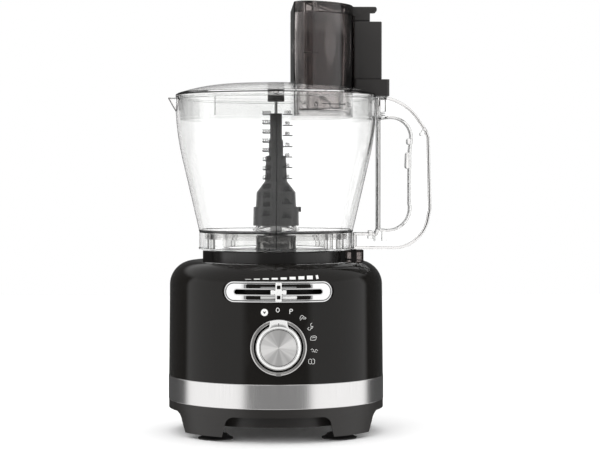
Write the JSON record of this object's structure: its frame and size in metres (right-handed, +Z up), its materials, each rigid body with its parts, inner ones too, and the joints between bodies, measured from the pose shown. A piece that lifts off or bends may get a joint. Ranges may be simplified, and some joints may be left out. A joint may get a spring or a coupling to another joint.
{
  "type": "food processor",
  "caption": "Food processor with a black motor base, steel band, dial and speed slider, clear bowl with loop handle, clear lid, smoked feed tube with nested pushers and a tool spindle.",
  "frame": {"origin": "on the worktop, under the vertical drive axis", "axes": "+Z up along the drive axis, +X towards the bowl handle, -Y towards the front with its dial"},
  "size_m": [0.2627, 0.2299, 0.4235],
  "materials": {
    "gloss_black": "polished black moulding",
    "matte_black": "satin black moulding",
    "foot_rubber": "soft black rubber",
    "band_steel": "fine upright brushing",
    "control_chrome": "bright plated",
    "knob_face": "spun brushed face",
    "clear_plastic": "clear, polished",
    "smoked_plastic": "smoked, see-through",
    "dark_plastic": "fine satin",
    "drive_steel": "ground steel",
    "motor_steel": "laminated steel",
    "motor_copper": "enamelled copper wire",
    "fan_plastic": "natural nylon",
    "belt_rubber": "ribbed belt",
    "board_green": "circuit board",
    "seal_rubber": "grey silicone",
    "zinc_screw": "zinc plated"
  },
  "bodies": {
    "base": {"base_housing": "gloss_black", "base_screws": "zinc_screw", "bottom_plate": "matte_black", "bowl_collar": "matte_black", "brush_holders": "motor_copper", "control_board": "board_green", "cord_gland": "matte_black", "drive_belt": "belt_rubber", "foot_front_left": "foot_rubber", "foot_front_right": "foot_rubber", "foot_rear_left": "foot_rubber", "foot_rear_right": "foot_rubber", "interlock_switch": "matte_black", "interlock_tower": "matte_black", "knob_bezel": "control_chrome", "lower_bearing": "drive_steel", "lower_chassis": "matte_black", "motor_bracket": "drive_steel", "motor_end_cap": "matte_black", "motor_stator": "motor_steel", "motor_windings": "motor_copper", "selector_switch": "matte_black", "slider_bezel": "control_chrome", "speed_potentiometer": "matte_black", "spindle_housing": "matte_black", "trim_band": "band_steel", "upper_bearing": "drive_steel"},
    "selector": {"selector_knob": "control_chrome", "knob_disc": "knob_face", "knob_shaft": "drive_steel"},
    "slider": {"slider_grip": "control_chrome", "slider_arm": "control_chrome"},
    "shaft": {"drive_shaft": "drive_steel", "drive_pulley": "matte_black"},
    "rotor": {"motor_armature": "motor_steel", "motor_pulley": "matte_black", "cooling_fan": "fan_plastic"},
    "button": {"switch_button": "matte_black"},
    "bowl_ring": {"bowl_seat": "clear_plastic"},
    "bowl": {"bowl": "clear_plastic", "bowl_handle": "clear_plastic", "handle_cover": "clear_plastic", "drive_seal": "seal_rubber", "rod_spring": "drive_steel"},
    "tool": {"tool_spindle": "dark_plastic", "spindle_pin": "drive_steel"},
    "rod": {"interlock_rod": "dark_plastic"},
    "lid_ring": {"lid_seat": "seal_rubber"},
    "lid": {"lid": "clear_plastic", "lid_bush": "dark_plastic", "feed_tube": "smoked_plastic", "interlock_box": "gloss_black", "box_foot": "gloss_black", "plunger_spring": "drive_steel"},
    "plunger": {"lid_plunger": "dark_plastic"},
    "pusher": {"pusher": "smoked_plastic"},
    "small_pusher": {"small_pusher": "smoked_plastic", "small_pusher_cap": "smoked_plastic"}
  },
  "joints": [
    {"name": "knob_turn", "type": "hinge", "parent": "base", "child": "selector", "pos_m": [0, -0.11, 0.0922], "axis": [0, 1, 0], "range_deg": [-21, 112]},
    {"name": "slider_move", "type": "hinge", "parent": "base", "child": "slider", "pos_m": [0, 0, 0.1446], "axis": [0, 0, 1], "range_deg": [-20, 20]},
    {"name": "button_press", "type": "slide", "parent": "base", "child": "button", "axis": [0, 0, -1], "range_m": [0, 0.0015], "stiffness_N_per_m": 200, "springref_m": -0.001},
    {"name": "rotor_spin", "type": "hinge", "parent": "base", "child": "rotor", "pos_m": [0, 0.062, 0.07], "axis": [0, 0, 1], "continuous": true},
    {"name": "shaft_spin", "type": "hinge", "parent": "base", "child": "shaft", "pos_m": [0, 0, 0.1], "axis": [0, 0, 1], "continuous": true},
    {"name": "bowl_lift", "type": "slide", "parent": "base", "child": "bowl_ring", "axis": [0, 0, 1], "range_m": [0, 0.07]},
    {"name": "bowl_twist", "type": "hinge", "parent": "bowl_ring", "child": "bowl", "pos_m": [0, 0, 0.19], "axis": [0, 0, 1], "range_deg": [0, 30]},
    {"name": "tool_spin", "type": "hinge", "parent": "bowl", "child": "tool", "pos_m": [0, 0, 0.25], "axis": [0, 0, 1], "continuous": true},
    {"name": "rod_press", "type": "slide", "parent": "bowl", "child": "rod", "axis": [0, 0, -1], "range_m": [0, 0.003], "stiffness_N_per_m": 200, "springref_m": -0.001, "deforming": ["rod_spring"]},
    {"name": "lid_lift", "type": "slide", "parent": "bowl", "child": "lid_ring", "axis": [0, 0, 1], "range_m": [0, 0.05]},
    {"name": "lid_twist", "type": "hinge", "parent": "lid_ring", "child": "lid", "pos_m": [0, 0, 0.33], "axis": [0, 0, 1], "range_deg": [0, 30]},
    {"name": "plunger_press", "type": "slide", "parent": "lid", "child": "plunger", "axis": [0, 0, -1], "range_m": [0, 0.002], "stiffness_N_per_m": 200, "springref_m": -0.001, "deforming": ["plunger_spring"]},
    {"name": "pusher_slide", "type": "slide", "parent": "lid", "child": "pusher", "axis": [0, 0, 1], "range_m": [0, 0.105]},
    {"name": "small_pusher_slide", "type": "slide", "parent": "pusher", "child": "small_pusher", "axis": [0, 0, 1], "range_m": [0, 0.11]}
  ],
  "couplings": [
    {"joint": "shaft_spin", "follows": "rotor_spin", "ratio": 0.21739},
    {"joint": "tool_spin", "follows": "rotor_spin", "ratio": 0.21739}
  ]
}
